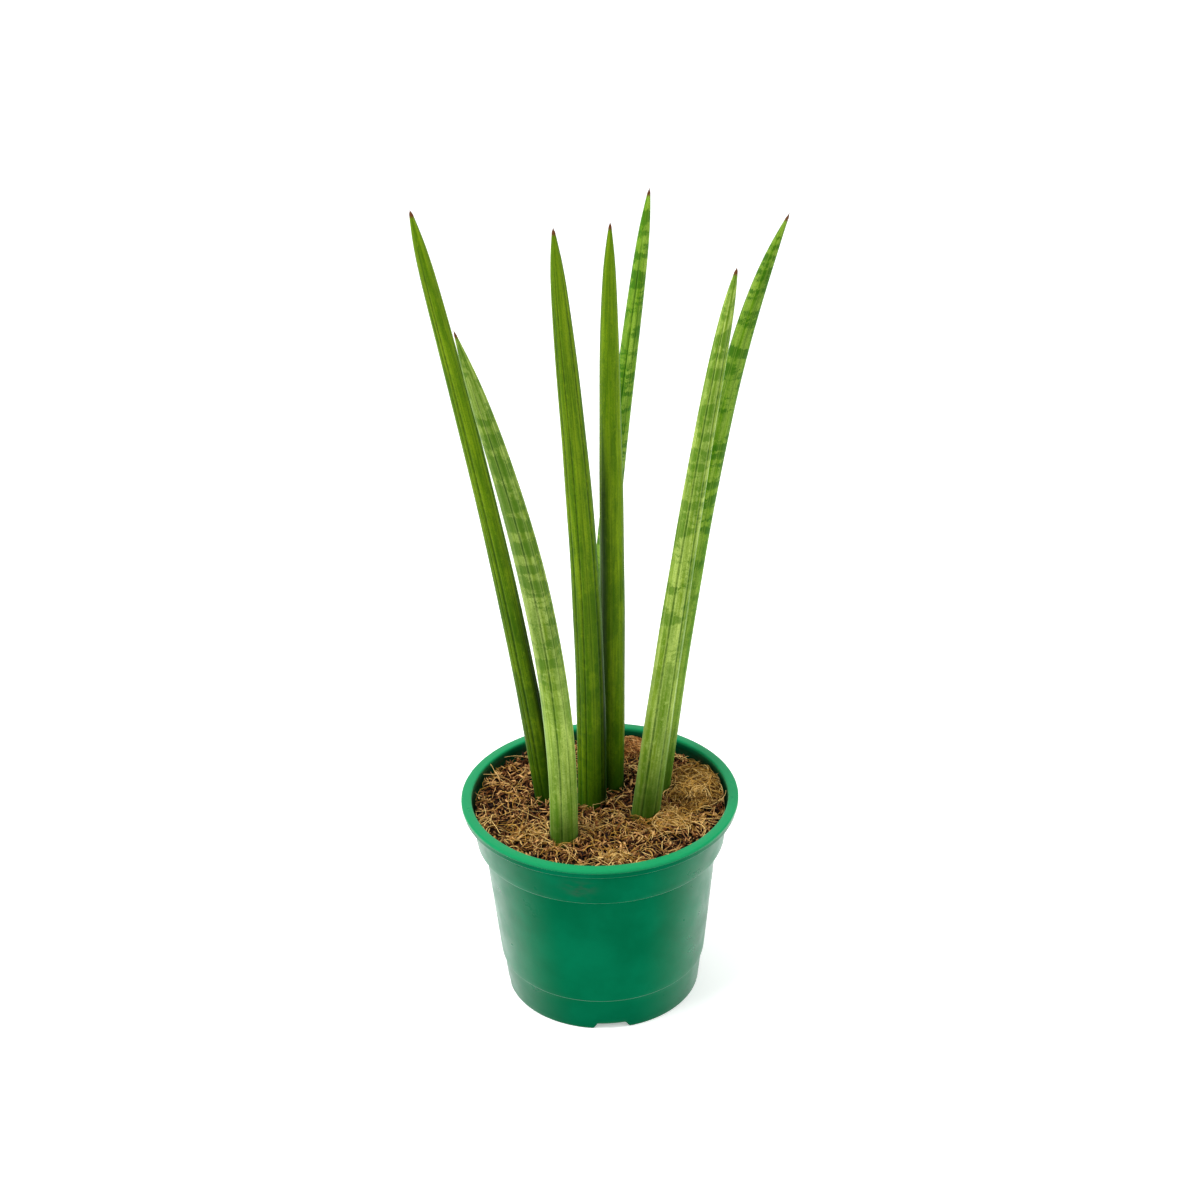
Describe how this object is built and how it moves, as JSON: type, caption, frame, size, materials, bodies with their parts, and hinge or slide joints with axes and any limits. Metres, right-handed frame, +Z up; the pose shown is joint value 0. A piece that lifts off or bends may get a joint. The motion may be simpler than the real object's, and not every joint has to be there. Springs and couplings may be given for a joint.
{
  "type": "potted snake plant",
  "caption": "Snake plant with round, pointed, upright leaves standing on their own in coir, in a round tapered green plastic grower pot.",
  "frame": {"origin": "middle of the pot's foot, on the surface that the pot stands on", "axes": "+Z up along the pot's axis; the plant's front faces between -Y and +X, 15 degrees from -Y; +X to the right"},
  "size_m": [0.1505, 0.13, 0.3805],
  "materials": {
    "pot_plastic": "satin",
    "coir": "matte",
    "coir_reddish": "matte",
    "coir_golden": "matte",
    "leaf_dark": "satin",
    "leaf_pale": "satin",
    "leaf_banded": "satin"
  },
  "bodies": {
    "root": {"pot": "pot_plastic", "coir_substrate": "coir", "leaf_back_left": "leaf_dark", "leaf_front_left": "leaf_pale", "leaf_middle_front": "leaf_dark", "leaf_middle": "leaf_dark", "leaf_middle_back": "leaf_banded", "leaf_front_right": "leaf_pale", "leaf_back_right": "leaf_banded", "fibre_tuft_back": "coir_reddish", "fibre_mat_right": "coir_golden", "loose_fibre_left": "coir_golden", "loose_fibre_front": "coir_golden", "loose_fibre_right": "coir_golden"}
  },
  "joints": []
}
